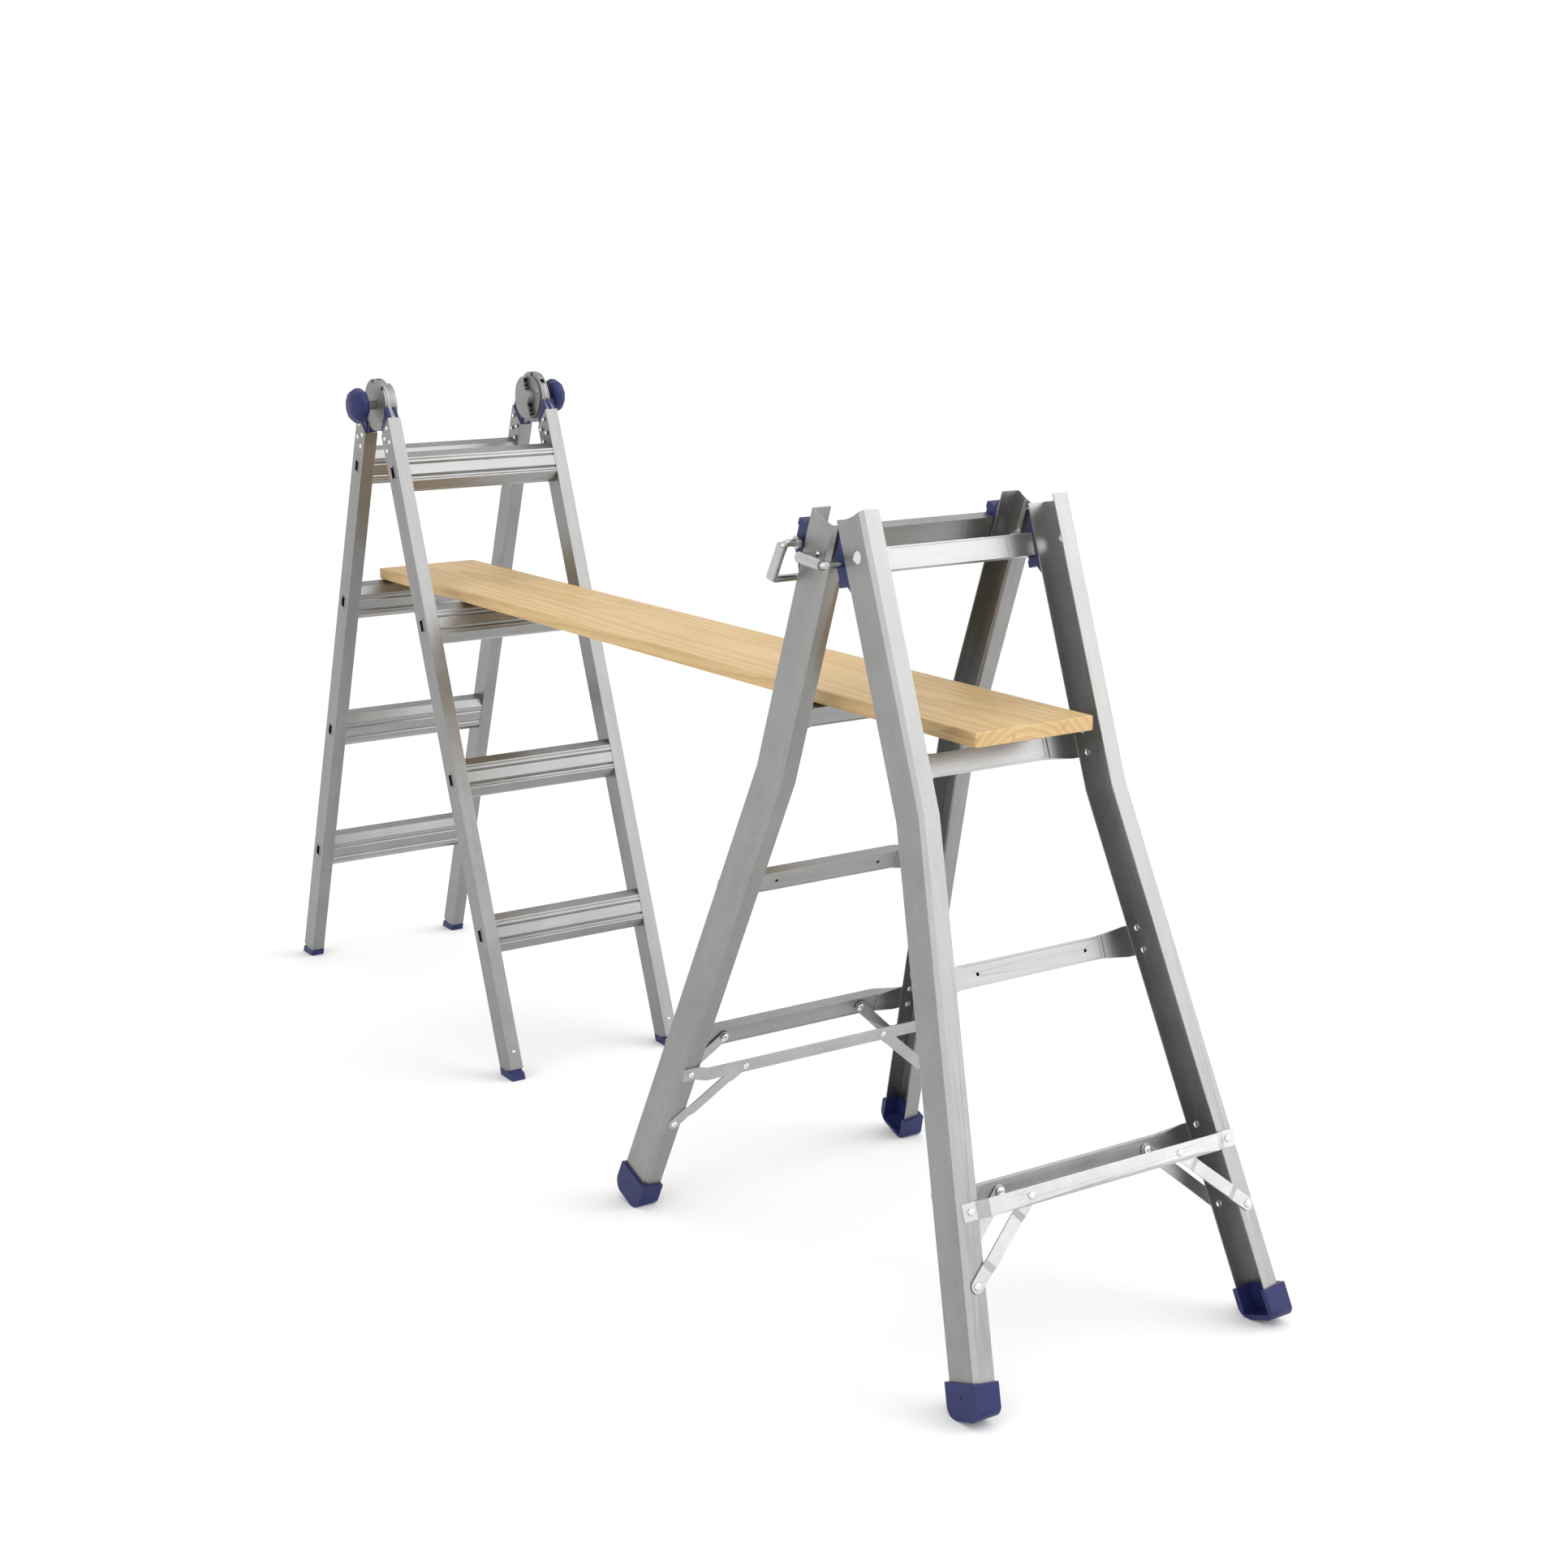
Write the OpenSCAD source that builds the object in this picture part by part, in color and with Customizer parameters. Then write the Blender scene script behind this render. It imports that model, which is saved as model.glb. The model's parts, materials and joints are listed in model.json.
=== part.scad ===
// Multi-position ladder split into its two trestles, with a timber plank between them.
// The inner (fly) sections form a hinged A-frame, the outer (base) sections a second one.
// +X runs along the plank from the A-frame to the base trestle, +Z is up, z = 0 is the ground.

/* [Layout] */
// Distance between the centre planes of the two trestles
trestle_gap = 1603; // [1500:1:1800]
// Distance from the A-frame's centre plane to the origin
origin_from_a_frame = 786.07; // [700:0.01:900]
// Rung spacing along the rails
rung_pitch = 304.8; // [300:0.1:306]

/* [Inner A-frame] */
// Width across both inner rails
inner_w = 371; // [369:0.5:372]
// Depth of an inner rail tube
inner_rail_d = 45; // [44:0.5:46]
// Width of an inner rail tube
inner_rail_w = 27; // [26:0.5:28]
// Lean of each section from the vertical
inner_lean = 19.7; // [19:0.1:20.5]
// Offset of the rails' middle from the hinge axis
hinge_offset = 39; // [38:0.5:41]
// First rung below the hinge axis
inner_first_rung = 147; // [145:1:150]
// Hinge axis to the sole, along a rail
inner_len = 1338; // [1330:1:1345]
// Height of an inner rung along the rail
inner_rung_h = 74; // [70:1:76]
// Depth of an inner rung across the rail
inner_rung_d = 44; // [42:1:44]

/* [Outer trestle] */
// Width across both outer rails above the flare
outer_w = 380; // [379:0.5:384]
// Depth of an outer rail channel
outer_rail_d = 62; // [60:1:64]
// Width of an outer rail's flanges
outer_flange = 32; // [30:1:33]
// Lean of the front section
front_lean = 19.52; // [19.2:0.01:19.8]
// Lean of the back section
back_lean = 20.63; // [20.4:0.01:20.9]
// Distance between the two sections' web holes along X
hole_gap = 104; // [103:0.5:106]
// First rung down to the sole, along a rail
outer_len = 1201.3; // [1195:0.1:1202]
// Rail above the first rung
outer_top = 61; // [58:1:63]
// First rung down to the start of the flare
flare_start = 376; // [372:1:380]
// Flare of each lower rail
flare = 6.94; // [6.5:0.01:7.2]
// Height of an outer rung along the rail
outer_rung_h = 34; // [32:1:36]
// Depth of an outer rung across the rail
outer_rung_d = 18; // [16:1:18]

/* [Plank] */
// Length of the plank
plank_len = 2010; // [1950:5:2020]
// Width of the plank
plank_w = 215; // [200:5:240]
// Thickness of the plank
plank_t = 22; // [20:1:26]
// Overhang of the plank behind the A-frame's centre plane
plank_back = 198; // [190:1:205]
// Sideways shift of the plank from the middle, to the right
plank_shift = 10; // [-20:1:20]

/* [Locks] */
// Diameter of a lock lever's rod
lever_rod_d = 11.5; // [11:0.5:12]
// Diameter of a lock lever's grip
lever_grip_d = 17; // [15:0.5:18]
// Distance of the grip outside the rail's web
lever_reach = 30; // [28:1:34]
// Tilt of a parked lever from the vertical
lever_park = 30; // [26:1:32]
// Diameter of a hinge disc
disc_d = 102; // [98:1:104]
// Diameter of a hinge lock knob
knob_d = 70; // [60:1:74]

/* [Hidden] */
INNER = ["inner_back", "inner_front"];
OUTER = ["outer_back", "outer_front"];

$fn = 48;
eps = 0.01;
run = 0.05;            // radial running clearance of a pin in its bore
rest_gap = 0.3;        // gap under the plank, which lies loose
wall = 2;              // wall of the aluminium sections
alu = [0.74, 0.75, 0.76];
blue = [0.14, 0.15, 0.42];
steel = [0.62, 0.62, 0.60];
pine = [0.87, 0.74, 0.54];

// Heights and places that follow from the lengths and leans
hinge_z = inner_len * cos(inner_lean) - hinge_offset * sin(inner_lean);
inner_x = -origin_from_a_frame;
front_hole_x = trestle_gap + hole_gap / 2 - origin_from_a_frame;
back_hole_x = trestle_gap - hole_gap / 2 - origin_from_a_frame;
front_hole_z = outer_len * cos(front_lean);
back_hole_z = outer_len * cos(back_lean);
inner_web = inner_w / 2;
outer_web = outer_w / 2;
rung_top_v = hinge_offset + inner_rung_d / 4;
rung_top_s = inner_first_rung + rung_pitch - inner_rung_h / 2;
plank_z = hinge_z - rung_top_s * cos(inner_lean) + rung_top_v * sin(inner_lean) + rest_gap;

// The front section's web-hole axis as seen from the back section's hole, in the front section's frame
pivot_dx = back_hole_x - front_hole_x;
pivot_dz = back_hole_z - front_hole_z;
pivot_v = pivot_dx * cos(front_lean) + pivot_dz * sin(front_lean);
pivot_up = -pivot_dx * sin(front_lean) + pivot_dz * cos(front_lean);

outer_rung_v = -(outer_rail_d / 2 + wall + outer_rung_d / 2);
lever_dv = pivot_v - outer_rung_v;
lever_span = norm([lever_dv, pivot_up]);
lever_front_angle = atan2(pivot_up, lever_dv);
lever_back_angle = -90 - lever_park + back_lean;

// ---------- placing ----------

function is_front(s) = s == "inner_front" || s == "outer_front";

module inner_place(s) {
    translate([inner_x, 0, hinge_z])
        rotate([0, 0, is_front(s) ? 0 : 180])
            rotate([0, -inner_lean, 0])
                children();
}

module outer_place(s) {
    translate([is_front(s) ? front_hole_x : back_hole_x, 0, is_front(s) ? front_hole_z : back_hole_z])
        rotate([0, is_front(s) ? -front_lean : back_lean, 0])
            children();
}

// side is -1 for the left (-Y) and 1 for the right; the children are drawn on the left
module mirror_side(side) {
    if (side > 0) mirror([0, 1, 0]) children();
    else children();
}

// The A-frame's sections are one part turned half round, so their own left and right swap over
function own_side(s, side) = is_front(s) ? side : -side;

module above_ground() {
    intersection() {
        children();
        translate([-3000, -1000, 0]) cube([6000, 2000, 2000]);
    }
}

// A prism from y0 to y1 on points given as [x, z]
module prism_along_y(y0, y1, points) {
    translate([0, y1, 0]) rotate([90, 0, 0]) linear_extrude(y1 - y0) polygon(points);
}

// Half of the outer trestle's width at a distance down from the first rung
function half_width(s) = outer_web + max(0, s - flare_start) * tan(flare);

module rivet_head(d, h) {
    // A domed head standing on z = 0
    r = (d * d / 4 + h * h) / (2 * h);
    intersection() {
        translate([0, 0, h - r]) sphere(r = r, $fn = 40);
        cylinder(d = d + 1, h = h + 1);
    }
}

// ---------- inner A-frame ----------

foot_h = 14;                  // sole to the rail's end
socket_d = 20;                // swaged rung end, across the rail
socket_h = 28;                // swaged rung end, along the rail
socket_bevel = 5;
socket_proud = 0.8;           // rung end beyond the rail's outer wall
arm_w = 38;                   // width of a hinge plate's arm
arm_end = 128;                // hinge axis to the arm's lower end
spacer_end = 132;             // hinge axis to the spacer blocks' lower end
plate_t = 3;                  // each plate of a fork
tongue_t = 8;                 // the single plate between them
plate_gap = 0.3;
plate_inset = 6.5;            // rail's outer wall to the outermost plate
stack_y = inner_web - plate_inset;
rail_cavity_y = inner_web - wall;
PLATE_RIVETS = [[9, 60], [-9, 76], [10, 88], [-8, 101]];
plate_rivet_d = 6;

module inner_rail(s, side) {
    w = inner_rail_w;
    color(alu) above_ground() inner_place(s) mirror_side(own_side(s, side)) difference() {
        translate([hinge_offset - inner_rail_d / 2, -inner_web, -inner_len + foot_h])
            cube([inner_rail_d, w, inner_len - foot_h - 40]);
        translate([hinge_offset - inner_rail_d / 2 + wall, -inner_web + wall, -inner_len])
            cube([inner_rail_d - 2 * wall, w - 2 * wall, inner_len]);
        // the top is cut obliquely, lower towards the other section
        prism_along_y(-inner_web - 1, -inner_web + w + 1, [
            [hinge_offset + inner_rail_d / 2 + 1, -42.5], [hinge_offset - inner_rail_d / 2 - 1, -67.5],
            [hinge_offset - inner_rail_d / 2 - 1, 0], [hinge_offset + inner_rail_d / 2 + 1, 0]]);
        // the sole end is cut level, a foot's height above the ground
        translate([hinge_offset, 0, -inner_len]) rotate([0, inner_lean, 0])
            translate([-50, -inner_web - 1, foot_h - 60]) cube([100, w + 2, 60]);
        for (k = [0 : 3]) translate([hinge_offset, -inner_web - 1, -inner_first_rung - k * rung_pitch])
            socket_prism(w + 2, 0.1);
    }
}

// An eight-sided bar along Y: the swaged end of a rung
module socket_prism(length, grow) {
    a = socket_d / 2 + grow;
    b = socket_h / 2 + grow;
    c = socket_bevel;
    translate([0, length, 0]) rotate([90, 0, 0]) linear_extrude(length)
        polygon([[a, b - c], [a - c, b], [c - a, b], [-a, b - c],
                 [-a, c - b], [c - a, -b], [a - c, -b], [a, c - b]]);
}

// Height and depth of each groove in an inner rung's upright face
FACE_GROOVES = [[19.5, 1], [11.5, 2.2], [-13, 2.8], [-20, 1]];

// A groove with 45 degree walls, as deep as half of its width, in the face at x that looks along dir
module face_groove(x, dir, z, depth, length) {
    over = 1;
    prism_along_y(-length, length, [
        [x - dir * depth, z], [x + dir * over, z + depth + over], [x + dir * over, z - depth - over]]);
}

// A stretched octagon with grooves; its swaged ends pass through both walls of the rails
module inner_rung(s, k) {
    v = inner_rung_d / 2;
    t = inner_rung_h / 2;
    flat = 23.5;              // half of each upright face
    length = inner_w - 2 * inner_rail_w;
    tread = 1;                // depth of a tread groove
    bore_wall = 3;
    profile = [[v, flat], [v / 2, t], [-v / 2, t], [-v, flat],
               [-v, -flat], [-v / 2, -t], [v / 2, -t], [v, -flat]];
    level = inner_first_rung + (k - 1) * rung_pitch;
    color(alu) inner_place(s) translate([hinge_offset, 0, -level]) difference() {
        union() {
            translate([0, length / 2, 0]) rotate([90, 0, 0]) linear_extrude(length) polygon(profile);
            translate([0, -inner_web - socket_proud, 0]) socket_prism(inner_w + 2 * socket_proud, 0);
        }
        // two deep and two fine grooves on each face, three tread grooves on the top and the bottom
        for (m = [-1, 1]) {
            for (g = FACE_GROOVES) face_groove(m * v, m, g[0], g[1], length);
            for (x = [-6, 0, 6]) translate([x - tread, -length, m * t - tread])
                cube([2 * tread, 2 * length, 2 * tread]);
        }
        // hollow ends and hollow middle
        for (m = [-1, 1]) translate([-socket_d / 2 + bore_wall, m * inner_web - 22, -socket_h / 2 + bore_wall])
            cube([socket_d - 2 * bore_wall, 44, socket_h - 2 * bore_wall]);
        translate([-v + 4, -length / 2 + 12, -20]) cube([2 * v - 8, length - 24, 40]);
    }
}

// A plastic foot: a level top face that the rail stands on, and a plug left inside the tube
module inner_feet(s) {
    lip = 0.5;
    plug_top = 36;
    color(blue) for (side = [-1, 1]) above_ground() inner_place(s) mirror_side(side)
        translate([hinge_offset, 0, -inner_len]) difference() {
            translate([-inner_rail_d / 2 - lip, -inner_web - lip, -20])
                cube([inner_rail_d + 2 * lip, inner_rail_w + 2 * lip, 60]);
            difference() {
                rotate([0, inner_lean, 0]) translate([-60, -inner_web - 5, foot_h])
                    cube([120, inner_rail_w + 10, 80]);
                translate([-inner_rail_d / 2 + wall + 0.1, -inner_web + wall + 0.1, 0])
                    cube([inner_rail_d - 2 * wall - 0.2, inner_rail_w - 2 * wall - 0.2, plug_top]);
            }
        }
}

// The disc and arm of one hinge plate, y from y0 outwards to y0 + t, drawn on the left
module hinge_plate(y0, t, bore) {
    translate([0, -y0, 0]) rotate([90, 0, 0]) linear_extrude(t) difference() {
        union() {
            circle(d = disc_d, $fn = 96);
            polygon([[hinge_offset - arm_w / 2, -30], [disc_d / 2 - 3, -13], [hinge_offset + arm_w / 2, -40],
                     [hinge_offset + arm_w / 2, -arm_end], [hinge_offset - arm_w / 2, -arm_end]]);
        }
        circle(d = bore, $fn = 48);
        // lock slots round the rim, open to the edge
        for (a = [62, 118, 200]) rotate(a) translate([disc_d / 2 - 8, -5]) square([12, 10]);
    }
}

hub_d = 30;
plate_1 = stack_y - plate_t;
plate_2 = plate_1 - plate_gap - tongue_t;
plate_3 = plate_2 - plate_gap - plate_t;

module single_plate(s) {
    // the middle plate, on the section's own left
    side = is_front(s) ? -1 : 1;
    color(steel) inner_place(s) mirror_side(own_side(s, side)) difference() {
        hinge_plate(plate_2, tongue_t, hub_d + 2 * run);
        plate_rivet_holes();
    }
}

module fork_plates(s) {
    side = is_front(s) ? 1 : -1;
    color(steel) inner_place(s) mirror_side(own_side(s, side)) difference() {
        union() {
            hinge_plate(plate_1, plate_t, hub_d);
            hinge_plate(plate_3, plate_t, hub_d);
        }
        plate_rivet_holes();
    }
}

module plate_rivet_holes() {
    for (p = PLATE_RIVETS) translate([hinge_offset + p[0], -inner_web + 2, -p[1]])
        rotate([-90, 0, 0]) cylinder(d = plate_rivet_d, h = inner_rail_w, $fn = 32);
}

// Plastic blocks that fill the rail's mouth on both sides of a hinge plate
module spacers(s) {
    fill = inner_rail_d / 2 - wall - 0.2;
    color(blue) for (side = [-1, 1]) {
        single = is_front(s) == (side < 0);
        slot_t = single ? tongue_t : plate_t;
        inner_place(s) mirror_side(own_side(s, side)) difference() {
            prism_along_y(0.1 - rail_cavity_y, inner_rail_w - 2 * wall - 0.1 - rail_cavity_y, [
                [hinge_offset - fill, -spacer_end], [hinge_offset + fill, -spacer_end],
                [hinge_offset + fill, -44], [hinge_offset + fill - 6, -20], [hinge_offset - fill, -20]]);
            // clear of the discs that turn past it
            translate([0, -inner_web - 1, 0]) rotate([-90, 0, 0])
                cylinder(d = disc_d + 3, h = inner_rail_w + 2, $fn = 96);
            for (y = single ? [plate_2] : [plate_1, plate_3])
                translate([hinge_offset - arm_w / 2 - 30, -y - slot_t, 1 - spacer_end])
                    cube([arm_w + 60, slot_t, spacer_end]);
            plate_rivet_holes();
        }
    }
}

module inner_rivets(s) {
    head_d = 9;
    head_h = 2.6;
    color(steel) for (side = [-1, 1]) inner_place(s) mirror_side(side) {
        for (p = PLATE_RIVETS) {
            translate([hinge_offset + p[0], -inner_web - eps, -p[1]])
                rotate([90, 0, 0]) rivet_head(head_d, head_h);
            translate([hinge_offset + p[0], -inner_web + inner_rail_w + eps, -p[1]])
                rotate([-90, 0, 0]) rivet_head(head_d, head_h);
        }
        // the foot's own rivet
        translate([hinge_offset + inner_rail_d / 2, -inner_web + inner_rail_w / 2, -inner_len + 48])
            rotate([0, 90, 0]) rivet_head(6, 1.6);
    }
}

// ---------- hinge locks ----------

plunger_d = 18;
plunger_in = 8;               // plunger inside the outermost plate's face
knob_gap = 23;                // plate's face to the knob
knob_h = 33;
collar_d = 32;
collar_h = 5;
cover_d = 86;                 // lock housing on the inside of the discs
cover_h = 14;
cover_wall = 3.5;
LOCK_PINS = [-31, -21.5, 21.5, 31];
lock_pin_d = 8;
spring_turns = 4;
spring_r = 6;
spring_wire = 0.8;
hub_floor = 3;

// Hollow pivot through all three plates, with a lock housing on the inside of the discs: a flat disc and a
// half-round cap that stands off it, open along a chord, where the lock pins show
module hinge_hub(side) {
    y_in = plate_3 - cover_h;
    cap_t = 2.5;
    base_t = 3;
    chord = 4;                // half of the cap that stands open starts here
    stop_r = 37;              // rivet head on the flat disc
    inside_h = cover_h - 0.2 - cap_t - base_t;
    color(steel) inner_place(side > 0 ? "inner_front" : "inner_back") mirror_side(1)
        translate([0, -y_in, 0]) rotate([90, 0, 0]) difference() {
            union() {
                difference() {
                    cylinder(d = cover_d, h = cover_h - 0.2, $fn = 96);
                    translate([0, 0, cap_t]) cylinder(d = cover_d - 2 * cover_wall, h = inside_h, $fn = 96);
                    translate([chord, -cover_d, -1]) cube([cover_d, 2 * cover_d, 1 + cap_t + inside_h]);
                }
                cylinder(d = hub_d, h = stack_y - y_in, $fn = 64);
                for (z = LOCK_PINS) translate([-lock_pin_d, z, 0.5])
                    cylinder(d = lock_pin_d, h = cover_h - base_t, $fn = 32);
                translate([stop_r, 0, cover_h - 0.2 - base_t + eps]) rotate([180, 0, 0]) rivet_head(9, 3);
            }
            // bore for the plunger, closed at the inner end
            translate([0, 0, hub_floor]) cylinder(d = plunger_d + 2 * run, h = stack_y, $fn = 64);
        }
}

module lock_knob(side) {
    // faceted hand knob outside the discs
    y_face = stack_y + knob_gap;
    rim = 6;
    side_h = 10;
    color(blue) translate([inner_x, 0, hinge_z]) mirror_side(side) {
        translate([0, -y_face, 0]) rotate([90, 0, 0]) rotate(18) {
            cylinder(d1 = knob_d - 8, d2 = knob_d, h = rim, $fn = 10);
            translate([0, 0, rim]) cylinder(d = knob_d, h = side_h, $fn = 10);
            translate([0, 0, rim + side_h])
                cylinder(d1 = knob_d, d2 = knob_d - 20, h = knob_h - rim - side_h, $fn = 10);
        }
    }
}

module lock_plunger(side) {
    // steel pin fixed to the knob, sliding in the hub, with a collar under the knob
    color(steel) translate([inner_x, 0, hinge_z]) mirror_side(side) {
        translate([0, -stack_y + plunger_in, 0]) rotate([90, 0, 0])
            cylinder(d = plunger_d, h = plunger_in + knob_gap, $fn = 64);
        translate([0, -stack_y - knob_gap + collar_h, 0]) rotate([90, 0, 0])
            cylinder(d = collar_d, h = collar_h, $fn = 64);
    }
}

module lock_spring(side) {
    // compression spring between the plunger and the hub's floor
    y0 = stack_y - plunger_in - 0.2;
    y1 = plate_3 - cover_h + hub_floor + 0.2;
    length = y0 - y1 - 2 * spring_wire;
    per_turn = 12;
    steps = spring_turns * per_turn;
    ring = 6;
    function centre(i) = let (u = 360 * i / per_turn) [spring_r * cos(u), spring_r * sin(u), length * i / steps];
    function ring_point(i, j) = let (a = 360 * j / ring, u = 360 * i / per_turn, r = spring_wire * cos(a))
        centre(i) + [r * cos(u), r * sin(u), spring_wire * sin(a)];
    points = [for (i = [0 : steps], j = [0 : ring - 1]) ring_point(i, j)];
    faces = concat(
        [[for (j = [0 : ring - 1]) j]],
        [for (i = [0 : steps - 1], j = [0 : ring - 1])
            let (a = i * ring + j, b = i * ring + (j + 1) % ring) [a, a + ring, b + ring]],
        [for (i = [0 : steps - 1], j = [0 : ring - 1])
            let (a = i * ring + j, b = i * ring + (j + 1) % ring) [a, b + ring, b]],
        [[for (j = [0 : ring - 1]) steps * ring + ring - 1 - j]]);
    color(steel) translate([inner_x, 0, hinge_z]) mirror_side(side)
        translate([0, -y1 - spring_wire, 0]) rotate([90, 0, 0]) polyhedron(points, faces);
}

// ---------- outer trestle ----------

chamfer = 6;                  // at the rail's outer corner
rib_h = 2;
rib_w = 3;
RIBS = [9, -3];               // places of the two ribs inside the web
boot_h = 57;
boot_t = 5;
boot_lift = 24;               // ground to the rail's end inside the boot
heel_r = 22;                  // the boot's lower corner on the rung side
toe_r = 16;                   // and on the other side
flattened = 0.8;              // depth of each corner worn flat on the ground
arc_over = 0.3;               // arcs cross the flat faces and don't touch them
boot_v = outer_rail_d / 2 + boot_t;
tab_t = 2.5;                  // flattened rung end
rivet_hole_d = 5.6;
rivet_inset = 15;             // rail's outer face to the rung rivets
rung_rivet_dz = 17;
brace_s = 920;                // first rung down to the brace bar
brace_y = 238;
brace_inner_y = 138;
brace_h = 25;
brace_t = 3;
brace_lift = 8;               // joggle of the brace bar
strut_low_s = 1020;
strut_low_y = 251;
strut_t = 2.5;
strut_w = 20;
tail = (outer_len - flare_start - boot_lift) / cos(flare);     // flared part of a rail
tail_to_ground = (outer_len - flare_start) / cos(flare);

function rib_points(x) = [
    [x + rib_w / 2, wall], [x + rib_w / 2, wall + rib_h], [x - rib_w / 2, wall + rib_h], [x - rib_w / 2, wall]];

// Channel open towards +Y, its web's outside on y = 0, chamfered at its +X corner
function channel_points() = let (d = outer_rail_d / 2, f = outer_flange, c = chamfer, w = wall, k = w * 0.414) [
    [-d, 0], [d - c, 0], [d, c], [d, f], [d - w, f], [d - w, c + k], [d - c - k, w],
    for (x = RIBS) each rib_points(x),
    [-d + w, w], [-d + w, f], [-d, f]];

// Left rail in the section's frame: the channel swept down to its mitre and on along the flare, cut to length
module flared_rail(end) {
    spare = 5;
    profile = channel_points();
    n = len(profile);
    far = end + spare;
    top_ring = [for (p = profile) [p[0], p[1] - outer_web, outer_top + spare]];
    mitre_ring = [for (p = profile) [p[0], p[1] - outer_web, -flare_start - p[1] * tan(flare / 2)]];
    end_ring = [for (p = profile) [p[0], p[1] * cos(flare) - far * sin(flare) - outer_web,
                                   -flare_start - p[1] * sin(flare) - far * cos(flare)]];
    faces = concat(
        [[for (i = [0 : n - 1]) n - 1 - i]],
        [for (r = [0, 1], i = [0 : n - 1]) let (a = r * n + i, b = r * n + (i + 1) % n) [a, b, b + n, a + n]],
        [[for (i = [0 : n - 1]) 2 * n + i]]);
    difference() {
        polyhedron(concat(top_ring, mitre_ring, end_ring), faces);
        translate([-100, -outer_web - 50, outer_top]) cube([200, 200, 2 * spare]);
        along_flare() translate([-100, -50, -end - 2 * spare]) cube([200, 200, 2 * spare]);
    }
}

module rivet_positions_on_rungs() {
    for (k = [1 : 3], dz = [-rung_rivet_dz, rung_rivet_dz]) {
        y = half_width(k * rung_pitch + dz) - rivet_inset;
        translate([0, -y, -k * rung_pitch - dz]) children();
    }
}

module outer_rail(s, side) {
    hole_r = 9.8;
    kite = 9.5;               // the kite's straight sides cross the round part and don't touch it
    dip_r = 100;
    dip = 4;
    color(alu) outer_place(s) mirror_side(side) difference() {
        flared_rail(tail);
        // kite-shaped lock hole in the web
        translate([0, -outer_web - 5, 0]) rotate([-90, 0, 0]) {
            cylinder(r = hole_r, h = 12);
            rotate(45) translate([-kite, 0, 0]) cube([kite, kite, 12]);
        }
        // the web's top edge dips in the middle
        translate([2, -outer_web - 5, outer_top + dip_r - dip]) rotate([-90, 0, 0])
            cylinder(r = dip_r, h = 5 + wall + rib_h + 0.5, $fn = 128);
        rivet_positions_on_rungs() translate([-outer_rail_d / 2 - 1, 0, 0]) rotate([0, 90, 0])
            cylinder(d = rivet_hole_d, h = wall + 2, $fn = 32);
        translate([outer_rail_d / 2 - wall - 1, -brace_y, -brace_s]) rotate([0, 90, 0])
            cylinder(d = rivet_hole_d, h = wall + 2, $fn = 32);
        for (m = [-1, 1]) translate([m * (outer_rail_d / 2 - wall / 2) - wall, -strut_low_y, -strut_low_s])
            rotate([0, 90, 0]) cylinder(d = rivet_hole_d, h = 2 * wall, $fn = 32);
    }
}

// Boots: a shell around the rail's end with a thick sole square to the rail, open towards the trestle's middle
module outer_feet(s) {
    sole = 18;
    inner_wall = wall + 3;
    inner_edge = 3;           // boot beyond the flanges' edges
    below = 30;
    nail_d = 4;
    nail_below_top = 20;
    color(blue) for (side = [-1, 1]) above_ground() outer_place(s) mirror_side(side) difference() {
        intersection() {
            along_flare() translate([-boot_v, -boot_t, -tail_to_ground - below])
                cube([2 * boot_v, outer_flange + boot_t + inner_edge, boot_h + below]);
            boot_profile(s);
        }
        // the channel's hollow runs down to the sole
        along_flare() translate([-outer_rail_d / 2 + inner_wall, inner_wall + rib_h, -tail_to_ground + sole])
            cube([outer_rail_d - 2 * inner_wall, 60, 200]);
        flared_rail(tail);
        along_flare() translate([0, -boot_t - 1, -tail_to_ground + boot_h - nail_below_top]) rotate([-90, 0, 0])
            cylinder(d = nail_d, h = boot_t + 1.5, $fn = 32);
    }
}

// Everything above a sole with two round corners, drawn across the whole trestle
module boot_profile(s) {
    reach = 450;
    high = 300;
    heel_v = heel_r - boot_v - arc_over;
    toe_v = boot_v - toe_r + arc_over;
    z = sole_z(s);
    intersection() {
        translate([-high, -reach, z]) cube([2 * high, 2 * reach, high]);
        union() {
            translate([heel_v, 0, z + heel_r - arc_over]) rotate([90, 0, 0])
                cylinder(r = heel_r, h = 2 * reach, center = true, $fn = 72);
            translate([toe_v, 0, z + toe_r - arc_over]) rotate([90, 0, 0])
                cylinder(r = toe_r, h = 2 * reach, center = true, $fn = 72);
            translate([heel_v, -reach - 1, z - 5]) cube([toe_v - heel_v, 2 * reach + 2, high]);
            translate([-high, -reach - 1, z + heel_r - arc_over]) cube([high + 5, 2 * reach + 2, high]);
            translate([-5, -reach - 1, z + toe_r - arc_over]) cube([high, 2 * reach + 2, high]);
        }
    }
}

// Local height of a point v along the section's depth that stands at height h above the ground
function local_z(s, v, h) = is_front(s)
    ? (h - front_hole_z - v * sin(front_lean)) / cos(front_lean)
    : (h - back_hole_z + v * sin(back_lean)) / cos(back_lean);

// The front section stands on its heels, the back one on its toes
function sole_z(s) = is_front(s)
    ? local_z(s, heel_r - boot_v - arc_over, heel_r - flattened) - heel_r + arc_over
    : local_z(s, boot_v - toe_r + arc_over, toe_r - flattened) - toe_r + arc_over;

// The left rail's frame below its bend
module along_flare() {
    translate([0, -outer_web, -flare_start]) rotate([-flare, 0, 0]) children();
}

// The first rung is straight and ends in the guides; the others have flat, taller ends riveted to the flanges
module outer_rung(s, k) {
    level = (k - 1) * rung_pitch;
    v = outer_rail_d / 2;
    back = -v - wall - outer_rung_d;
    half_h = outer_rung_h / 2;
    color(alu) outer_place(s) translate([0, 0, -level])
        if (k == 1) straight_rung(back, half_h);
        else flattened_rung(k, level, v, back, half_h);
}

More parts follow.
